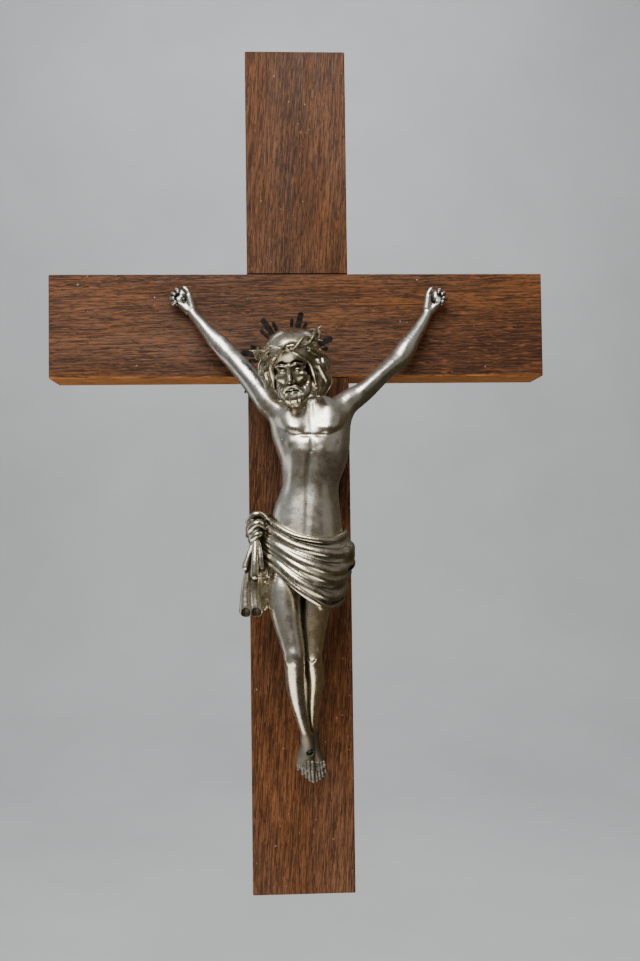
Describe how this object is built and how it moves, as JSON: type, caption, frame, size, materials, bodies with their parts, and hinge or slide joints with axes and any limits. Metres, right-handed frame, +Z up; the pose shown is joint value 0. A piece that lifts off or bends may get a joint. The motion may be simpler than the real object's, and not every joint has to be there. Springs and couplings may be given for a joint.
{
  "type": "wall crucifix",
  "caption": "Wall crucifix: dark oak beams halved into each other, a silvery cast corpus with loincloth, crown of thorns and ray nimbus, and a swinging ring hanger behind.",
  "frame": {"origin": "centre of the crossing on the upright's back face", "axes": "+Z up along the upright, +X to the viewer's right along the crossbeam, +Y out of the back to the wall"},
  "size_m": [0.294, 0.0958, 0.5],
  "materials": {
    "stained_oak": "dark red-brown stain, half matt, open pores along the grain",
    "nickel_casting": "aged nickel plate, polished but soft, with casting pits",
    "worn_brass": "nickel plate worn to brass on the crests, dark in the folds",
    "black_iron": "blackened, dull",
    "zinc_steel": "zinc plated, dull"
  },
  "bodies": {
    "cross": {"upright_beam": "stained_oak", "cross_beam": "stained_oak", "lap_screws": "zinc_steel", "corpus_body": "nickel_casting", "corpus_head": "nickel_casting", "left_arm": "nickel_casting", "right_arm": "nickel_casting", "shoulder_pins": "zinc_steel", "loincloth": "worn_brass", "crown_of_thorns": "worn_brass", "nimbus": "black_iron", "nimbus_screw": "zinc_steel", "hand_nails": "black_iron", "foot_nail": "black_iron", "side_nail": "black_iron", "hanger_staple": "zinc_steel"},
    "ring": {"hanger_ring": "zinc_steel"}
  },
  "joints": [
    {"name": "ring_swing", "type": "hinge", "parent": "cross", "child": "ring", "pos_m": [0, -0.0036, 0.104], "axis": [1, 0, 0], "range_deg": [0, 180]}
  ]
}
